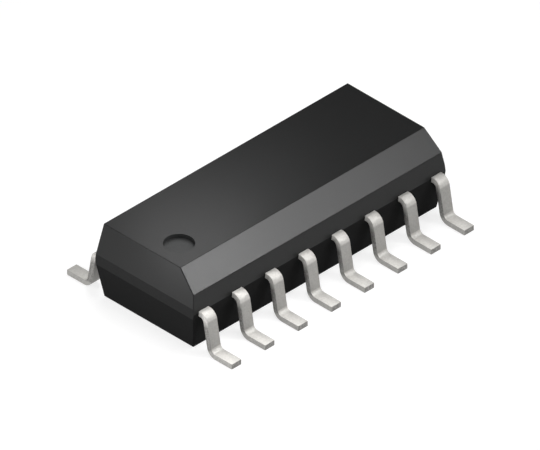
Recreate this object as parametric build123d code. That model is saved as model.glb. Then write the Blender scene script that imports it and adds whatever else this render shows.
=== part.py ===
from build123d import *
import os
from math import radians, tan

# Sixteen-lead small-outline logic chip, in millimetres.
# X runs along the package, Y across it and Z up from the seating plane under the feet.
# The origin is the middle of the seating plane, straight under the middle of the moulding.
# Pin 1 is at the -X, -Y corner, beside the round mark, and the pins are numbered
# anticlockwise as seen from above.

# Lead strip and its pins
PINS_PER_SIDE = 8
PITCH = 1.27
STRIP_THICKNESS = 0.17
LEAD_WIDTH = 0.37
FRAME_DROP = 0.045

# Moulding, measured at the parting line, with draft above and below it.
# The long sides meet in a ridge there, and the two ends have an upright band.
END_MARGIN = 0.185
BODY_WIDTH = 3.8
BODY_HEIGHT = 2.4
STANDOFF = 0.03
PARTING_RISE = 1.23
END_BAND = 0.34
END_DRAFT = 8.5
SIDE_DRAFT = 9
EDGE_RADIUS = 0.03

# Bevel at 45 degrees along the pin-one side of the top
BEVEL_DROP = 0.585

# Round pin-one recess, placed from the top face's end edge and from the bevel's upper edge
MARK_DIAMETER = 0.87
MARK_DEPTH = 0.13
MARK_END_INSET = 0.79
MARK_BEVEL_INSET = 0.84

# Shallow round ejector marks under the moulding
EJECTOR_DIAMETER = 1.0
EJECTOR_DEPTH = 0.04
EJECTOR_SPACING = 5.8

# Gull-wing form outside the moulding, measured along the strip's middle line
SHOULDER = 0.215
LEG_LEAN = 10
FOOT = 0.84
KNEE_INSIDE_RADIUS = 0.13
ANKLE_INSIDE_RADIUS = 0.15

# Fingers inside the moulding. The straight ones meet the paddle's long sides,
# the others turn in past its ends, and ears on each lock it in the moulding.
STRAIGHT_FINGERS = 4
FINGER_WIDTH = 0.22
FINGER_JOG = 0.3
FRAME_GAP = 0.16
EAR_OVERHANG = 0.1
EAR_LENGTH = 0.2
EAR_INSET = 0.25

# Die paddle and the tie bars that carry it
PADDLE_MARGIN = 0.035
PADDLE_WIDTH = 1.7
PADDLE_DOWNSET = 0.2
TIE_WIDTH = 0.25
TIE_LEAD_IN = 0.12
TIE_SLOPE_RUN = 0.25
TIE_COVER = 0.08

# Silicon die and the adhesive under it
DIE_LENGTH = 1.7
DIE_WIDTH = 1.15
DIE_HEIGHT = 0.25
ADHESIVE_THICKNESS = 0.03
ADHESIVE_MARGIN = 0.05

# Bond wires, from a ball on the die to a flattened stitch on a finger.
# They are too fine for their roundness to show, so eight flats stand for it.
WIRE_DIAMETER = 0.025
SIDES_PER_WIRE = 8
BALL_DIAMETER = 0.075
BALL_HEIGHT = 0.025
PAD_INSET = 0.08
PAD_SPACING = 0.3
LOOP_RISE = 0.17
LOOP_CREST = 0.16
LOOP_SHOULDER = 0.03
STITCH_INSET = 0.12
STITCH_LENGTH = 0.1
STITCH_WIDTH = 0.06
STITCH_HEIGHT = 0.012

# Levels that follow from the sizes above
body_bottom = STANDOFF
body_top = body_bottom + BODY_HEIGHT
parting = body_bottom + PARTING_RISE
band_bottom = parting - END_BAND / 2
band_top = parting + END_BAND / 2
frame_middle = parting - FRAME_DROP
frame_top = frame_middle + STRIP_THICKNESS / 2
paddle_middle = frame_middle - PADDLE_DOWNSET
paddle_top = paddle_middle + STRIP_THICKNESS / 2
die_bottom = paddle_top + ADHESIVE_THICKNESS
die_top = die_bottom + DIE_HEIGHT

# Places that follow from the sizes above
end_x = (PINS_PER_SIDE - 1) / 2 * PITCH + LEAD_WIDTH / 2 + END_MARGIN
side_y = BODY_WIDTH / 2
end_slope = tan(radians(END_DRAFT))
side_slope = tan(radians(SIDE_DRAFT))
top_end_x = end_x - (body_top - band_top) * end_slope
bevel_low_z = body_top - BEVEL_DROP
bevel_low_y = side_y - (bevel_low_z - parting) * side_slope
bevel_top_y = bevel_low_y - BEVEL_DROP
paddle_end_x = (STRAIGHT_FINGERS - 1) / 2 * PITCH + FINGER_WIDTH / 2 + PADDLE_MARGIN
finger_end_x = paddle_end_x + FRAME_GAP
finger_end_y = PADDLE_WIDTH / 2 + FRAME_GAP


def rank_tip_y(rank):
    """How far from the middle line the tip of a finger lies when it comes in past the paddle's end."""
    first = TIE_WIDTH / 2 + FRAME_GAP + FINGER_WIDTH / 2
    return first + rank * (FINGER_WIDTH + FRAME_GAP)


def pin_place(number):
    """Distance along X, row (-1 front, 1 back) and rank from the row's end of a pin."""
    front = number <= PINS_PER_SIDE
    along = number - 1 if front else 2 * PINS_PER_SIDE - number
    x = (along - (PINS_PER_SIDE - 1) / 2) * PITCH
    rank = min(along, PINS_PER_SIDE - 1 - along)
    return x, -1 if front else 1, rank


def into_corner(solid, x, row):
    """Mirrors a piece that was made in the +X, +Y corner to the corner where it belongs."""
    if x < 0:
        solid = mirror(solid, about=Plane.YZ)
    if row < 0:
        solid = mirror(solid, about=Plane.XZ)
    return solid


def is_straight(rank):
    """True where a finger runs straight in to the paddle's long side."""
    return rank >= (PINS_PER_SIDE - STRAIGHT_FINGERS) / 2


def finger_tip(x, rank):
    """The end of a finger's middle line, in the +X, +Y corner."""
    if is_straight(rank):
        return Vector(x, finger_end_y)
    return Vector(finger_end_x, rank_tip_y(rank))


def finger_outline(x, rank):
    """Plan of the part of a lead that the moulding holds, in the +X, +Y corner."""
    tip = finger_tip(x, rank)
    outline = Pos(x, side_y - EAR_INSET / 2) * Rectangle(LEAD_WIDTH, EAR_INSET)
    ear_y = side_y - EAR_INSET - EAR_LENGTH / 2
    outline += Pos(x, ear_y) * Rectangle(LEAD_WIDTH + 2 * EAR_OVERHANG, EAR_LENGTH)
    if is_straight(rank):
        route = Line((x, ear_y), tip)
    else:
        route = Polyline((x, ear_y), (x, tip.Y + FINGER_JOG), (x - FINGER_JOG, tip.Y), tip)
    return outline + trace(route, FINGER_WIDTH)


def gull_wing():
    """The bent strip outside the moulding, with its inner end under the ears, at X = 0."""
    knee = Vector(side_y + SHOULDER, frame_middle)
    foot_middle = STRIP_THICKNESS / 2
    ankle = Vector(knee.X + (frame_middle - foot_middle) * tan(radians(LEG_LEAN)), foot_middle)
    toe = ankle + Vector(FOOT, 0)
    root = Vector(side_y - EAR_INSET, frame_middle)
    radii = (KNEE_INSIDE_RADIUS + STRIP_THICKNESS / 2, ANKLE_INSIDE_RADIUS + STRIP_THICKNESS / 2)
    middle_line = FilletPolyline(root, knee, ankle, toe, radius=radii)
    profile = Plane.YZ * trace(middle_line, STRIP_THICKNESS)
    return extrude(profile, amount=LEAD_WIDTH / 2, both=True)


def make_lead(number):
    """One lead: its finger inside the moulding and its gull wing outside, in one piece."""
    x, row, rank = pin_place(number)
    finger = extrude(
        Pos(0, 0, frame_middle - STRIP_THICKNESS / 2) * finger_outline(abs(x), rank), amount=STRIP_THICKNESS
    )
    return into_corner(finger + Pos(abs(x), 0, 0) * gull_wing(), x, row)


def make_paddle():
    """Die paddle, set down below the leads, with a tie bar to each end of the moulding."""
    low = paddle_end_x + TIE_LEAD_IN
    high = low + TIE_SLOPE_RUN
    end = end_x - TIE_COVER
    bar = Polyline(
        (-end, frame_middle),
        (-high, frame_middle),
        (-low, paddle_middle),
        (low, paddle_middle),
        (high, frame_middle),
        (end, frame_middle),
    )
    ties = extrude(Plane.XZ * trace(bar, STRIP_THICKNESS), amount=TIE_WIDTH / 2, both=True)
    plate = Pos(0, 0, paddle_middle) * Box(2 * paddle_end_x, PADDLE_WIDTH, STRIP_THICKNESS)
    return ties + plate


def make_adhesive():
    """Layer of die-attach adhesive, which squeezes out a little round the die."""
    foot = Rectangle(DIE_LENGTH + 2 * ADHESIVE_MARGIN, DIE_WIDTH + 2 * ADHESIVE_MARGIN)
    return extrude(Pos(0, 0, paddle_top) * foot, amount=ADHESIVE_THICKNESS)


def make_die():
    """The silicon die."""
    return extrude(Pos(0, 0, die_bottom) * Rectangle(DIE_LENGTH, DIE_WIDTH), amount=DIE_HEIGHT)


def bond_pad(rank):
    """Where a wire's ball sits on the die, in the +X, +Y corner."""
    corner = Vector(DIE_LENGTH / 2 - PAD_INSET, DIE_WIDTH / 2 - PAD_INSET)
    if is_straight(rank):
        return Vector((PINS_PER_SIDE / 2 - rank - 0.5) * PAD_SPACING, corner.Y)
    if rank == 0:
        return Vector(corner.X, PAD_SPACING / 2)
    return corner


def make_wire(number, lead):
    """One bond wire: ball, rising neck, loop, sloping span and the stitch on its finger."""
    x, row, rank = pin_place(number)
    pad = bond_pad(rank)
    inward = Vector(0, 1) if is_straight(rank) else Vector(1, 0)
    stitch = finger_tip(abs(x), rank) + inward * STITCH_INSET
    span = stitch - pad
    crest = BALL_HEIGHT + LOOP_RISE
    landing = frame_top + STITCH_HEIGHT / 2 - die_top
    upright = Plane(
        origin=(pad.X, pad.Y, die_top), x_dir=(span.X, span.Y, 0), z_dir=(span.Y, -span.X, 0)
    )
    route = upright * Polyline(
        (0, BALL_HEIGHT / 2),
        (0, crest - LOOP_SHOULDER),
        (LOOP_SHOULDER, crest),
        (LOOP_CREST, crest),
        (span.length, landing),
    )
    section = RegularPolygon(WIRE_DIAMETER / 2, SIDES_PER_WIRE)
    wire = sweep(
        Plane(origin=route @ 0, z_dir=route % 0) * section, path=route, transition=Transition.RIGHT
    )
    ball = Pos(pad.X, pad.Y, die_top) * RegularPolygon(BALL_DIAMETER / 2, SIDES_PER_WIRE)
    flat = Plane(origin=(stitch.X, stitch.Y, frame_top), x_dir=(span.X, span.Y, 0), z_dir=(0, 0, 1))
    wire += extrude(ball, amount=BALL_HEIGHT)
    wire += extrude(flat * Rectangle(STITCH_LENGTH, STITCH_WIDTH), amount=STITCH_HEIGHT)
    return into_corner(wire, x, row) - lead


def cross_section():
    """The moulding's section across its width, with the bevel on the front."""
    top_y = side_y - (body_top - parting) * side_slope
    bottom_y = side_y - (parting - body_bottom) * side_slope
    return Polygon(
        (-bottom_y, body_bottom),
        (bottom_y, body_bottom),
        (side_y, parting),
        (top_y, body_top),
        (-bevel_top_y, body_top),
        (-bevel_low_y, bevel_low_z),
        (-side_y, parting),
        align=None,
    )


def long_section():
    """The moulding's section along its length, with the upright band at both ends."""
    bottom_end_x = end_x - (band_bottom - body_bottom) * end_slope
    right = [
        (bottom_end_x, body_bottom),
        (end_x, band_bottom),
        (end_x, band_top),
        (top_end_x, body_top),
    ]
    left = [(-x, z) for x, z in reversed(right)]
    return Polygon(*right, *left, align=None)


def is_crisp(edge):
    """True for the parting ridge and the band's edges, which turn too little to be rounded."""
    level = edge.bounding_box().size.Z < EDGE_RADIUS
    return level and abs(edge.center().Z - parting) < END_BAND


def outer_form():
    """The moulding's outer form with its outer edges rounded."""
    along = extrude(Plane.YZ * cross_section(), amount=end_x, both=True)
    across = extrude(Plane.XZ * long_section(), amount=side_y, both=True)
    form = along & across
    rounded = [edge for edge in form.edges() if not is_crisp(edge)]
    return fillet(rounded, EDGE_RADIUS)


def make_body(inner_pieces):
    """The moulding, cast round everything that it holds."""
    form = outer_form()
    mark_x = -(top_end_x - MARK_END_INSET)
    mark_y = -(bevel_top_y - MARK_BEVEL_INSET)
    mark = Pos(mark_x, mark_y, body_top) * Cylinder(
        MARK_DIAMETER / 2, MARK_DEPTH, align=(Align.CENTER, Align.CENTER, Align.MAX)
    )
    form -= mark
    for side in (-1, 1):
        form -= Pos(side * EJECTOR_SPACING / 2, 0, body_bottom) * Cylinder(
            EJECTOR_DIAMETER / 2, EJECTOR_DEPTH, align=(Align.CENTER, Align.CENTER, Align.MIN)
        )
    for piece in inner_pieces:
        form -= piece
    return form


def main():
    os.makedirs("parts", exist_ok=True)
    numbers = range(1, 2 * PINS_PER_SIDE + 1)
    leads = {n: make_lead(n) for n in numbers}
    wires = {n: make_wire(n, leads[n]) for n in numbers}
    pieces = {f"lead_{n:02d}": leads[n] for n in numbers}
    pieces.update({f"bond_wire_{n:02d}": wires[n] for n in numbers})
    pieces["die_paddle"] = make_paddle()
    pieces["die_adhesive"] = make_adhesive()
    pieces["silicon_die"] = make_die()
    pieces["mould_body"] = make_body(pieces.values())
    for name, piece in pieces.items():
        export_step(piece, f"parts/{name}.step")


main()
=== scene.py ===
"""A sixteen-lead small-outline logic chip on a plain white floor, seen as in the photograph."""
import contextlib
import math
from typing import NamedTuple

import bmesh
import bpy
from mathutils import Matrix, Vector


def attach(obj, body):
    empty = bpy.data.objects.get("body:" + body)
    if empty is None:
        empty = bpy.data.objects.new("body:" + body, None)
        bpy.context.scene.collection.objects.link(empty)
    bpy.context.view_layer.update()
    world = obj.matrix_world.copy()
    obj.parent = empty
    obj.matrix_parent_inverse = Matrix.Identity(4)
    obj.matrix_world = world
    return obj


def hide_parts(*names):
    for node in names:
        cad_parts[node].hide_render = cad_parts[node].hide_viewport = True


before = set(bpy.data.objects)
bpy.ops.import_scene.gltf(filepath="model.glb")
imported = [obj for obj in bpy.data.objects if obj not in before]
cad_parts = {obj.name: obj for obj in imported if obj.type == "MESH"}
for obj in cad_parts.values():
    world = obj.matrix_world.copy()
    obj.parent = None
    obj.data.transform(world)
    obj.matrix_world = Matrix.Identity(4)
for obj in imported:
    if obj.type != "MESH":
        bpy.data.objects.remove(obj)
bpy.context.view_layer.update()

MM = 0.001
WHITE = (1, 1, 1, 1)
LEADS = [name for name in sorted(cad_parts) if name.startswith("lead_")]
WIRES = [name for name in sorted(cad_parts) if name.startswith("bond_wire_")]

# Camera: an isometric look at the bevelled side and the pin 1 end
IMAGE_WIDTH = 540
PIXELS_PER_MM = 37.0
VIEW_AZIMUTH = math.radians(-45)
VIEW_ELEVATION = math.radians(35.2)
VIEW_DISTANCE = 80 * MM
VIEW_HEIGHT = 0.907 * MM
VIEW_SIDESTEP = -0.012 * MM
VIEW_NEAR = 1 * MM
VIEW_FAR = 1000 * MM

# Pin 1 recess, in millimetres: a hair wider and deeper than the solid's, whose faceted wall it cuts away
RECESS_FACETS = 128
RECESS_CENTRE = (-3.875, -0.382)
RECESS_RADIUS = 0.4365
RECESS_FLOOR = 2.2995
CUTTER_HEIGHT = 1

# Meshes: what counts as one point, one flat face, one level, and a sharp edge
WELD_REACH = 0.0002 * MM
FLAT_ANGLE = math.radians(0.5)
LEVEL_REACH = 0.001 * MM
SHARP_ANGLE = math.radians(35)

# Heights in millimetres of the parting ridge and the end band's edges, which turn only a little
CREASE_LEVELS = (1.09, 1.26, 1.43)

# Leads: rounding of the edges, and how deep the cut end of a toe goes
LEAD_EDGE_ROUND = 0.014 * MM
LEAD_EDGE_SEGMENTS = 2
TOE_DEPTH = 0.004 * MM

# Limits on a face's normal: Z on an upright face, X on the side of a lead, and Z on the top of the die
UPRIGHT_TILT = 0.06
SIDE_TILT = 0.9
TOP_TILT = 0.5


class Mottle(NamedTuple):
    """Two tones blended by noise, with grains of about this many millimetres."""

    grain: float
    tones: tuple
    detail: float = 2
    roughness: float = 0.5


class Feel(NamedTuple):
    """A surface's range of roughness and its relief, with depth and grains in millimetres."""

    roughness: tuple
    depth: float
    rough_grain: float = 0.05
    relief_grain: float = 0.05
    detail: float = 3
    metallic: float = 0
    specular: float = 0.5


MOTTLES = {
    "epoxy_cloud": Mottle(0.9, ((0.0084, 0.0086, 0.0088), (0.0094, 0.0095, 0.0095)), detail=3),
    "epoxy_filler": Mottle(0.035, ((0.0076, 0.0078, 0.0079), (0.0102, 0.0103, 0.0103))),
    # Paler than the rest of the moulding: painted light on the wall and floor of the pin 1 recess
    "ejector_mark_painted_light": Mottle(0.06, ((0.027, 0.028, 0.028), (0.034, 0.035, 0.035)), detail=3),
    "tin_cloud": Mottle(0.35, ((0.570, 0.558, 0.534), (0.639, 0.626, 0.599)), detail=3),
    "tin_crystal": Mottle(0.055, ((0.522, 0.511, 0.488), (0.688, 0.675, 0.646))),
    "tin_plated": Mottle(0.06, ((0.56, 0.548, 0.525), (0.70, 0.686, 0.656)), detail=3),
    # Painted shade for the sides of the leads along the leg
    "tin_leg_painted_shade": Mottle(0.07, ((0.14, 0.137, 0.131), (0.40, 0.392, 0.375)), detail=4, roughness=0.7),
    "tin_cut": Mottle(0.07, ((0.16, 0.157, 0.15), (0.44, 0.432, 0.412)), detail=4, roughness=0.7),
    "copper": Mottle(0.04, ((0.62, 0.30, 0.17), (0.80, 0.44, 0.28)), detail=3),
    "silver": Mottle(0.03, ((0.72, 0.71, 0.68), (0.86, 0.85, 0.82))),
    "silicon": Mottle(0.2, ((0.060, 0.064, 0.075), (0.085, 0.090, 0.100))),
    "gold": Mottle(0.02, ((0.86, 0.58, 0.20), (0.98, 0.72, 0.32))),
}

FEELS = {
    # Moulding finishes for faces that look up, sideways and down: the sideways and downward ones are
    # rougher, and their lower specular level is painted shade
    "black_epoxy_upper": Feel((0.28, 0.32), 0.0006, rough_grain=0.06, specular=0.23),
    "black_epoxy_upright": Feel((0.58, 0.62), 0.0006, rough_grain=0.06, specular=0.14),
    "black_epoxy_lower": Feel((0.88, 0.92), 0.0006, rough_grain=0.06, specular=0.13),
    "recess_floor": Feel((0.44, 0.52), 0.0006, specular=0.24),
    "matte_tin": Feel((0.57, 0.67), 0.0015, relief_grain=0.045, metallic=0.7),
    "stamped_tin": Feel((0.5, 0.7), 0.003, metallic=0.6),
    "sheared_tin": Feel((0.5, 0.7), 0.003, metallic=0.6),
    "frame_copper": Feel((0.28, 0.42), 0.0015, relief_grain=0.03, metallic=1),
    "silver_epoxy": Feel((0.35, 0.55), 0.002, rough_grain=0.03, metallic=0.5),
    "patterned_silicon": Feel((0.12, 0.22), 0.0005, rough_grain=0.02, metallic=0.6),
    "bond_gold": Feel((0.20, 0.32), 0.0006, rough_grain=0.015, relief_grain=0.01, detail=2, metallic=1),
}

# Values between which noise mostly lies, and the share of each of two mottles in a blend
NOISE_SPAN = (0.3, 0.7)
EQUAL_PARTS = 0.5

# Painted shade on the tin's upright faces: the tone it leaves them, and the values of the normal's Z
# between which it fades
UPRIGHT_PAINTED_SHADE = 0.66
UPRIGHT_SHADE_SPAN = (0.19, 0.34)

# Sides of the leads: painted light at the foot as this share of the plated tone, and the heights between
# which the plated tone and the painted shade along the leg meet
FOOT_PAINTED_LIGHT = 0.55
FOOT_SPAN = (0.15 * MM, 0.22 * MM)
SHOULDER_SPAN = (0.88 * MM, 1.10 * MM)

# Strip inside the moulding, in millimetres from the middle: where it is bare, and where it has silver
BURIED_REACH = 1.87
SILVER_SPOT = (3.0, 1.25)

# Streaks of rolling: scale of the noise along X, and its detail
ROLLED_SCALE = 0.12
ROLLED_DETAIL = 3

# Silver flakes of the die attach, in millimetres
FLAKE_SIZE = 0.012
FLAKE_TONES = ((0.62, 0.61, 0.58), (0.30, 0.295, 0.28))

# Circuitry on the die: blocks on a brick pattern with units of half a millimetre, and fine cells
BLOCKS = {
    "Scale": 1 / (0.5 * MM),
    "Color1": (0.20, 0.13, 0.24, 1),
    "Color2": (0.12, 0.22, 0.20, 1),
    "Mortar": (0.55, 0.42, 0.25, 1),
    "Mortar Size": 0.012,
    "offset": 0.35,
    "squash": 0.7,
}
CELL_SIZE = 0.02
CELL_TONES = ((0.75, 0.75, 0.75), (1, 1, 1))

# Lamps: name, place and aim in millimetres, side of the square, power in watts
LAMPS = [
    ("overhead_back", (17.9, 17.9, 55.4), (0, 0, 1), 30, 0.0141),
    ("right", (49.2, 0, 35.4), (0, 0, 1), 30, 0.00209),
    ("top_sheen_near", (2.5, 5.5, 9.4), (-4.5, -1, 2.4), 3, 0.0000602),
    ("top_sheen_far", (5.5, 8.5, 12.4), (-4.5, -1, 2.4), 6, 0.000107),
    ("bevel_sheen_near", (2.5, -8.5, 9.2), (-4.5, -1.5, 2.2), 3, 0.000185),
    ("bevel_sheen_middle", (15.5, -21.5, 22.2), (-4.5, -1.5, 2.2), 8, 0.000477),
    ("bevel_sheen_far", (23.5, -29.5, 30.2), (-4.5, -1.5, 2.2), 12, 0.00646),
    ("end_fill_near", (-10, -3, 3), (-4.8, -1, 1.5), 3, 0.000124),
    ("end_sheen", (-10, 1.9, 1.3), (-4.8, -1.7, 1.5), 2.4, 0.000085),
    ("end_edge", (-14.2, 6.9, 4.9), (-4.7, 0, 2.4), 5, 0.00014),
    ("rim_sheen", (-11.2, 6.9, 10.1), (-4.8, 0, 2.4), 4, 0.00036),
    ("near_feet", (-3, -3.5, 9), (-3, -3, 0.5), 4, 0.00037),
]

# World and floor
SKY_LEVEL = 0.12
GROUND_LEVEL = 1
HORIZON_SPAN = (-0.001, 0.001)
FLOOR_HALF = 400 * MM
FLOOR_COLOUR = (0.34, 0.34, 0.34, 1)
FLOOR_GLOW = 0.75


def new_material(name):
    """A material with a plain Principled shader."""
    made = bpy.data.materials.new(name)
    made.use_nodes = True
    return made


def add_node(made, kind, **settings):
    """A node of this kind, with its properties and input sockets set by name."""
    node = made.node_tree.nodes.new(kind)
    for key, value in settings.items():
        if key in node.inputs:
            node.inputs[key].default_value = value
        else:
            setattr(node, key, value)
    return node


def feed(made, source, target):
    """Gives an input socket the output of another node, or a plain value."""
    if isinstance(source, bpy.types.NodeSocket):
        made.node_tree.links.new(source, target)
    else:
        target.default_value = source


def feed_shader(made, inputs):
    """Gives the Principled shader these inputs."""
    shader = made.node_tree.nodes["Principled BSDF"]
    for name, source in inputs.items():
        feed(made, source, shader.inputs[name])


def computed(made, operation, *values):
    """The result of one operation on sockets and plain numbers."""
    node = add_node(made, "ShaderNodeMath", operation=operation)
    for value, target in zip(values, node.inputs):
        feed(made, value, target)
    return node.outputs[0]


def object_place(made):
    """The point in the part's own frame, in metres."""
    return add_node(made, "ShaderNodeTexCoord").outputs["Object"]


def surface_normal(made):
    """The direction that the surface faces."""
    return add_node(made, "ShaderNodeNewGeometry").outputs["Normal"]


def axis_value(made, vector, axis):
    """One coordinate of a point or direction."""
    split = add_node(made, "ShaderNodeSeparateXYZ")
    feed(made, vector, split.inputs[0])
    return split.outputs[axis]


def within(made, value, reach):
    """1 where the value lies within this many millimetres of the middle, else 0."""
    return computed(made, "LESS_THAN", computed(made, "ABSOLUTE", value), reach * MM)


def grain(made, place, size, detail=2, roughness=0.5):
    """Noise whose grains measure about this many millimetres."""
    scale = 1 / (size * MM)
    noise = add_node(made, "ShaderNodeTexNoise", Scale=scale, Detail=detail, Roughness=roughness)
    feed(made, place, noise.inputs["Vector"])
    return noise.outputs["Fac"]


def rolled(made, place, size, detail=ROLLED_DETAIL, roughness=0.5):
    """Noise drawn out along X, like the streaks that rolling leaves."""
    node = add_node(made, "ShaderNodeMapping", vector_type="POINT", Scale=(ROLLED_SCALE, 1, 1))
    feed(made, place, node.inputs["Vector"])
    return grain(made, node.outputs["Vector"], size, detail, roughness)


def pebbles(made, place, size, **settings):
    """The distance from the middles of cells that measure about this many millimetres."""
    node = add_node(made, "ShaderNodeTexVoronoi", Scale=1 / (size * MM), **settings)
    feed(made, place, node.inputs["Vector"])
    return node.outputs["Distance"]


def spread(made, value, low, high, span=NOISE_SPAN):
    """Maps the values in a span to a range of plain numbers."""
    node = add_node(made, "ShaderNodeMapRange")
    for socket, number in zip(("From Min", "From Max", "To Min", "To Max"), (*span, low, high)):
        node.inputs[socket].default_value = number
    feed(made, value, node.inputs["Value"])
    return node.outputs["Result"]


def two_tone(made, value, tones):
    """Blends two colours by a noise value."""
    ramp = add_node(made, "ShaderNodeValToRGB")
    for element, position, tone in zip(ramp.color_ramp.elements, NOISE_SPAN, tones):
        element.position = position
        element.color = (*tone, 1)
    feed(made, value, ramp.inputs["Fac"])
    return ramp.outputs["Color"]


def mottled(made, place, name, pattern=grain):
    """The colour of one of the mottles."""
    mottle = MOTTLES[name]
    noise = pattern(made, place, mottle.grain, mottle.detail, mottle.roughness)
    return two_tone(made, noise, mottle.tones)


def mixed(made, factor, first, second, blend="MIX"):
    """Mixes two colours by a factor."""
    node = add_node(made, "ShaderNodeMix", data_type="RGBA", blend_type=blend)
    for source, index in ((factor, 0), (first, 6), (second, 7)):
        feed(made, source, node.inputs[index])
    return node.outputs[2]


def strip_colour(made, place):
    """Rolled copper strip, silver plated round the die."""
    copper = mottled(made, place, "copper", rolled)
    silver = mottled(made, place, "silver")
    in_length = within(made, axis_value(made, place, "X"), SILVER_SPOT[0])
    in_width = within(made, axis_value(made, place, "Y"), SILVER_SPOT[1])
    return mixed(made, computed(made, "MULTIPLY", in_length, in_width), copper, silver)


def bare_inside(made, place, tin):
    """This colour of tin outside the moulding, and the bare strip inside it."""
    buried = within(made, axis_value(made, place, "Y"), BURIED_REACH)
    return mixed(made, buried, tin, strip_colour(made, place))


def begun(name):
    """A new material, and the point that its patterns are made from."""
    made = new_material(name)
    return made, object_place(made)


def finished(made, place, colour, relief=None, pattern=grain):
    """Gives a material its colour, the feel of its name, and a pattern for relief unless one is given."""
    feel = FEELS[made.name]
    if relief is None:
        relief = pattern(made, place, feel.relief_grain, feel.detail)
    bump = add_node(made, "ShaderNodeBump", Distance=feel.depth * MM)
    feed(made, relief, bump.inputs["Height"])
    feed_shader(made, {
        "Base Color": colour,
        "Roughness": spread(made, pattern(made, place, feel.rough_grain), *feel.roughness),
        "Metallic": feel.metallic,
        "Specular IOR Level": feel.specular,
        "Normal": bump.outputs["Normal"],
    })
    return made


def black_epoxy(faces):
    """The moulding: black epoxy with silica filler, for the faces that look one way; faces that look
    sideways and down get a lower specular level as painted shade.
    """
    made, place = begun("black_epoxy_" + faces)
    cloud = mottled(made, place, "epoxy_cloud")
    filler = mottled(made, place, "epoxy_filler")
    return finished(made, place, mixed(made, EQUAL_PARTS, cloud, filler))


def ejector_mark_painted_light():
    """The pin 1 recess, formed by the end of a pin: duller than the top, and paler as painted light that
    lifts the shade inside the recess.
    """
    made, place = begun("recess_floor")
    return finished(made, place, mottled(made, place, "ejector_mark_painted_light"))


def matte_tin():
    """Electroplated matte tin: pale, slightly warm, with a soft crystalline grain, and painted shade on
    its upright faces.
    """
    made, place = begun("matte_tin")
    cloud = mottled(made, place, "tin_cloud")
    crystal = mottled(made, place, "tin_crystal")
    # Painted shade: upright faces of the tin are darkened, fading out towards faces that look up
    tone = spread(made, axis_value(made, surface_normal(made), "Z"), UPRIGHT_PAINTED_SHADE, 1, UPRIGHT_SHADE_SPAN)
    tin = mixed(made, 1, mixed(made, EQUAL_PARTS, cloud, crystal), tone, "MULTIPLY")
    return finished(made, place, bare_inside(made, place, tin))


def stamped_tin():
    """The stamped sides: plated tone at foot and shoulder as painted light, and painted shade darkening
    them along the leg.
    """
    made, place = begun("stamped_tin")
    height = axis_value(made, place, "Z")
    foot = spread(made, height, FOOT_PAINTED_LIGHT, 0, FOOT_SPAN)
    shoulder = spread(made, height, 0, 1, SHOULDER_SPAN)
    # The dark tone is painted shade along the leg, and the plated tone at foot and shoulder is painted
    # light
    leg_painted_shade = mottled(made, place, "tin_leg_painted_shade")
    plated = mottled(made, place, "tin_plated")
    tin = mixed(made, computed(made, "MAXIMUM", foot, shoulder), leg_painted_shade, plated)
    return finished(made, place, bare_inside(made, place, tin))


def sheared_tin():
    """The toe ends, cut off after plating: dark and mottled."""
    made, place = begun("sheared_tin")
    return finished(made, place, bare_inside(made, place, mottled(made, place, "tin_cut")))


def frame_copper():
    """The die paddle and its tie bars."""
    made, place = begun("frame_copper")
    return finished(made, place, strip_colour(made, place), pattern=rolled)


def silver_epoxy():
    """Die attach: grey resin packed with silver flake."""
    made, place = begun("silver_epoxy")
    flakes = pebbles(made, place, FLAKE_SIZE)
    return finished(made, place, two_tone(made, flakes, FLAKE_TONES), relief=flakes)


def patterned_silicon():
    """Polished silicon with blocks of fine circuitry on its top face."""
    made, place = begun("patterned_silicon")
    bare = mottled(made, place, "silicon")
    blocks = add_node(made, "ShaderNodeTexBrick", **BLOCKS)
    feed(made, place, blocks.inputs["Vector"])
    cells = pebbles(made, place, CELL_SIZE, distance="MANHATTAN")
    circuit = mixed(made, 1, blocks.outputs["Color"], two_tone(made, cells, CELL_TONES), "MULTIPLY")
    is_top = computed(made, "GREATER_THAN", axis_value(made, surface_normal(made), "Z"), TOP_TILT)
    return finished(made, place, mixed(made, is_top, bare, circuit), relief=cells)


def bond_gold():
    """Drawn gold wire."""
    made, place = begun("bond_gold")
    return finished(made, place, mottled(made, place, "gold"))


def new_object(name, data):
    """An object in the scene."""
    made = bpy.data.objects.new(name, data)
    bpy.context.scene.collection.objects.link(made)
    return made


@contextlib.contextmanager
def opened(mesh):
    """The mesh opened for changes, which are written back at the end."""
    work = bmesh.new()
    work.from_mesh(mesh)
    yield work
    work.to_mesh(mesh)
    work.free()


def welded_copy(node, name):
    """A new object with the CAD node's mesh, its split vertices joined and its flat faces whole."""
    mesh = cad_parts[node].data.copy()
    mesh.name = name
    mesh.materials.clear()
    with opened(mesh) as work:
        bmesh.ops.remove_doubles(work, verts=work.verts, dist=WELD_REACH)
        bmesh.ops.dissolve_limit(work, angle_limit=FLAT_ANGLE, verts=work.verts, edges=work.edges)
    for layer in list(mesh.uv_layers):
        mesh.uv_layers.remove(layer)
    return new_object(name, mesh)


def stands_for(piece, node):
    """Puts a finished piece in the place of a CAD node."""
    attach(piece, "root")
    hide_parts(node)


def applied(piece):
    """Turns the modifiers of a piece into its mesh."""
    graph = bpy.context.evaluated_depsgraph_get()
    mesh = bpy.data.meshes.new_from_object(piece.evaluated_get(graph))
    old = piece.data
    piece.modifiers.clear()
    piece.data = mesh
    bpy.data.meshes.remove(old)
    mesh.name = piece.name
    return mesh


def lies_at(edge, level):
    """Whether an edge runs level at this height in millimetres."""
    return all(abs(vertex.co.z - level * MM) < LEVEL_REACH for vertex in edge.verts)


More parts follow.
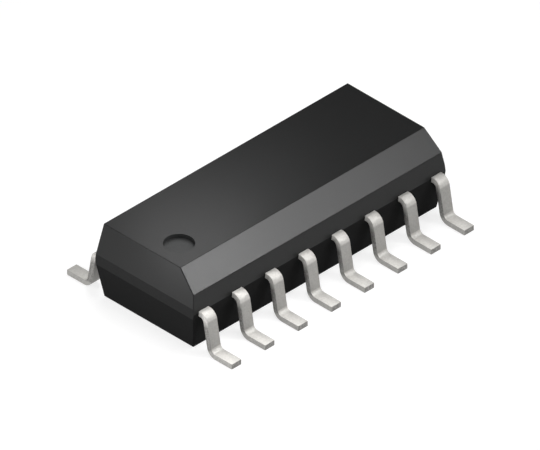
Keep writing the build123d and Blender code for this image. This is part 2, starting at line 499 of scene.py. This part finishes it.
def shaded(piece, crease_levels=()):
    """Shades bends and rounded edges smooth, broad faces flat, and corners and creases sharp."""
    piece.data.shade_smooth()
    with opened(piece.data) as work:
        for edge in work.edges:
            is_crease = any(lies_at(edge, level) for level in crease_levels)
            edge.smooth = edge.calc_face_angle(0) < SHARP_ANGLE and not is_crease
    weigh = piece.modifiers.new("weigh", "WEIGHTED_NORMAL")
    weigh.keep_sharp = True
    return applied(piece)


def finish_faces(mesh, finishes, chosen):
    """Gives each face the finish whose name a function chooses for it."""
    mesh.materials.clear()
    for made in finishes.values():
        mesh.materials.append(made)
    slots = {name: slot for slot, name in enumerate(finishes)}
    for face in mesh.polygons:
        face.material_index = slots[chosen(face)]


def recess_cutter():
    """A many-sided plug that rounds out the wall of the pin 1 recess."""
    mesh = bpy.data.meshes.new("recess_cutter")
    with opened(mesh) as work:
        bmesh.ops.create_cone(
            work,
            cap_ends=True,
            segments=RECESS_FACETS,
            radius1=RECESS_RADIUS * MM,
            radius2=RECESS_RADIUS * MM,
            depth=CUTTER_HEIGHT * MM,
        )
        centre = Vector((*RECESS_CENTRE, RECESS_FLOOR + CUTTER_HEIGHT / 2)) * MM
        bmesh.ops.translate(work, verts=work.verts, vec=centre)
    return new_object("recess_cutter", mesh)


def moulding_finish(face):
    """The recess has a finish of its own, with painted light, and the rest has one for each way that
    faces look, with painted shade on faces that look sideways and down.
    """
    tilt = face.normal.z
    above_floor = face.center.z - RECESS_FLOOR * MM
    is_wall = above_floor > 0 and abs(tilt) < UPRIGHT_TILT
    if is_wall or abs(above_floor) < LEVEL_REACH:
        return "recess"
    if tilt > UPRIGHT_TILT:
        return "upper"
    if tilt < -UPRIGHT_TILT:
        return "lower"
    return "upright"


def moulded_body():
    """The moulding, with a truly round pin 1 recess."""
    body = welded_copy("mould_body", "package_body")
    cutter = recess_cutter()
    cut = body.modifiers.new("recess", "BOOLEAN")
    cut.operation = "DIFFERENCE"
    cut.solver = "EXACT"
    cut.object = cutter
    applied(body)
    bpy.data.objects.remove(cutter)
    mesh = shaded(body, CREASE_LEVELS)
    finishes = {faces: black_epoxy(faces) for faces in ("upper", "upright", "lower")}
    finishes["recess"] = ejector_mark_painted_light()
    finish_faces(mesh, finishes, moulding_finish)
    stands_for(body, "mould_body")


def lead_finish(face, reach):
    """The end of the toe is cut, the sides are stamped, and the rest is plated."""
    if abs(face.center.y) > reach - TOE_DEPTH:
        return "cut"
    if abs(face.normal.x) > SIDE_TILT:
        return "stamped"
    return "plated"


def formed_lead(node, finishes):
    """A lead with softly rounded edges, stamped sides and a cut toe."""
    piece = welded_copy(node, node.replace("lead", "pin"))
    rounding = piece.modifiers.new("round", "BEVEL")
    rounding.width = LEAD_EDGE_ROUND
    rounding.segments = LEAD_EDGE_SEGMENTS
    rounding.limit_method = "ANGLE"
    rounding.angle_limit = SHARP_ANGLE
    applied(piece)
    mesh = shaded(piece)
    reach = max(abs(vertex.co.y) for vertex in mesh.vertices)
    finish_faces(mesh, finishes, lambda face: lead_finish(face, reach))
    stands_for(piece, node)


def dress_node(node, made):
    """Gives a carried-over CAD node its finish."""
    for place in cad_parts[node].material_slots:
        place.material = made


def place_camera():
    """The photograph's parallel view."""
    data = bpy.data.cameras.new("photo_camera")
    data.type = "ORTHO"
    data.ortho_scale = IMAGE_WIDTH / PIXELS_PER_MM * MM
    data.clip_start = VIEW_NEAR
    data.clip_end = VIEW_FAR
    camera = new_object("photo_camera", data)
    back = Vector((
        math.sin(VIEW_AZIMUTH) * math.cos(VIEW_ELEVATION),
        -math.cos(VIEW_AZIMUTH) * math.cos(VIEW_ELEVATION),
        math.sin(VIEW_ELEVATION),
    ))
    right = Vector((math.cos(VIEW_AZIMUTH), math.sin(VIEW_AZIMUTH), 0))
    camera.location = Vector((0, 0, VIEW_HEIGHT)) + right * VIEW_SIDESTEP + back * VIEW_DISTANCE
    camera.rotation_euler = (-back).to_track_quat("-Z", "Y").to_euler()
    bpy.context.scene.camera = camera


def add_lamp(name, place, aim, size, power):
    """A square soft box at a place in millimetres, aimed at a point on the part."""
    data = bpy.data.lights.new(name, "AREA")
    data.shape = "SQUARE"
    data.size = size * MM
    data.energy = power
    lamp = new_object(name, data)
    lamp.location = Vector(place) * MM
    lamp.rotation_euler = (Vector(aim) - Vector(place)).to_track_quat("-Z", "Y").to_euler()
    lamp.visible_camera = False


def light_world():
    """An even, dim surround above the horizon, and white below it, where the floor isn't in the way."""
    world = bpy.data.worlds.new("studio")
    world.use_nodes = True
    background = world.node_tree.nodes["Background"]
    background.inputs["Color"].default_value = WHITE
    direction = add_node(world, "ShaderNodeTexCoord").outputs["Generated"]
    level = spread(world, axis_value(world, direction, "Z"), GROUND_LEVEL, SKY_LEVEL, HORIZON_SPAN)
    feed(world, level, background.inputs["Strength"])
    bpy.context.scene.world = world


def lay_floor():
    """A white floor that keeps the shadow and lifts the background to white where it is seen."""
    mesh = bpy.data.meshes.new("floor")
    corners = [(x * FLOOR_HALF, y * FLOOR_HALF, 0) for x, y in ((-1, -1), (1, -1), (1, 1), (-1, 1))]
    mesh.from_pydata(corners, [], [(0, 1, 2, 3)])
    floor = new_object("floor", mesh)
    made = new_material("white_floor")
    path = add_node(made, "ShaderNodeLightPath")
    seen = path.outputs["Is Camera Ray"]
    for ray in ("Is Glossy Ray", "Is Transmission Ray"):
        seen = computed(made, "MAXIMUM", seen, path.outputs[ray])
    feed_shader(made, {
        "Base Color": FLOOR_COLOUR,
        "Roughness": 1,
        "Specular IOR Level": 0,
        "Emission Color": WHITE,
        "Emission Strength": computed(made, "MULTIPLY", seen, FLOOR_GLOW),
    })
    mesh.materials.append(made)


bpy.context.scene.view_settings.view_transform = "Standard"
place_camera()
light_world()
for lamp in LAMPS:
    add_lamp(*lamp)
lay_floor()
moulded_body()
lead_finishes = {"plated": matte_tin(), "stamped": stamped_tin(), "cut": sheared_tin()}
for node in LEADS:
    formed_lead(node, lead_finishes)
dress_node("die_paddle", frame_copper())
dress_node("die_adhesive", silver_epoxy())
dress_node("silicon_die", patterned_silicon())
gold = bond_gold()
for node in WIRES:
    dress_node(node, gold)
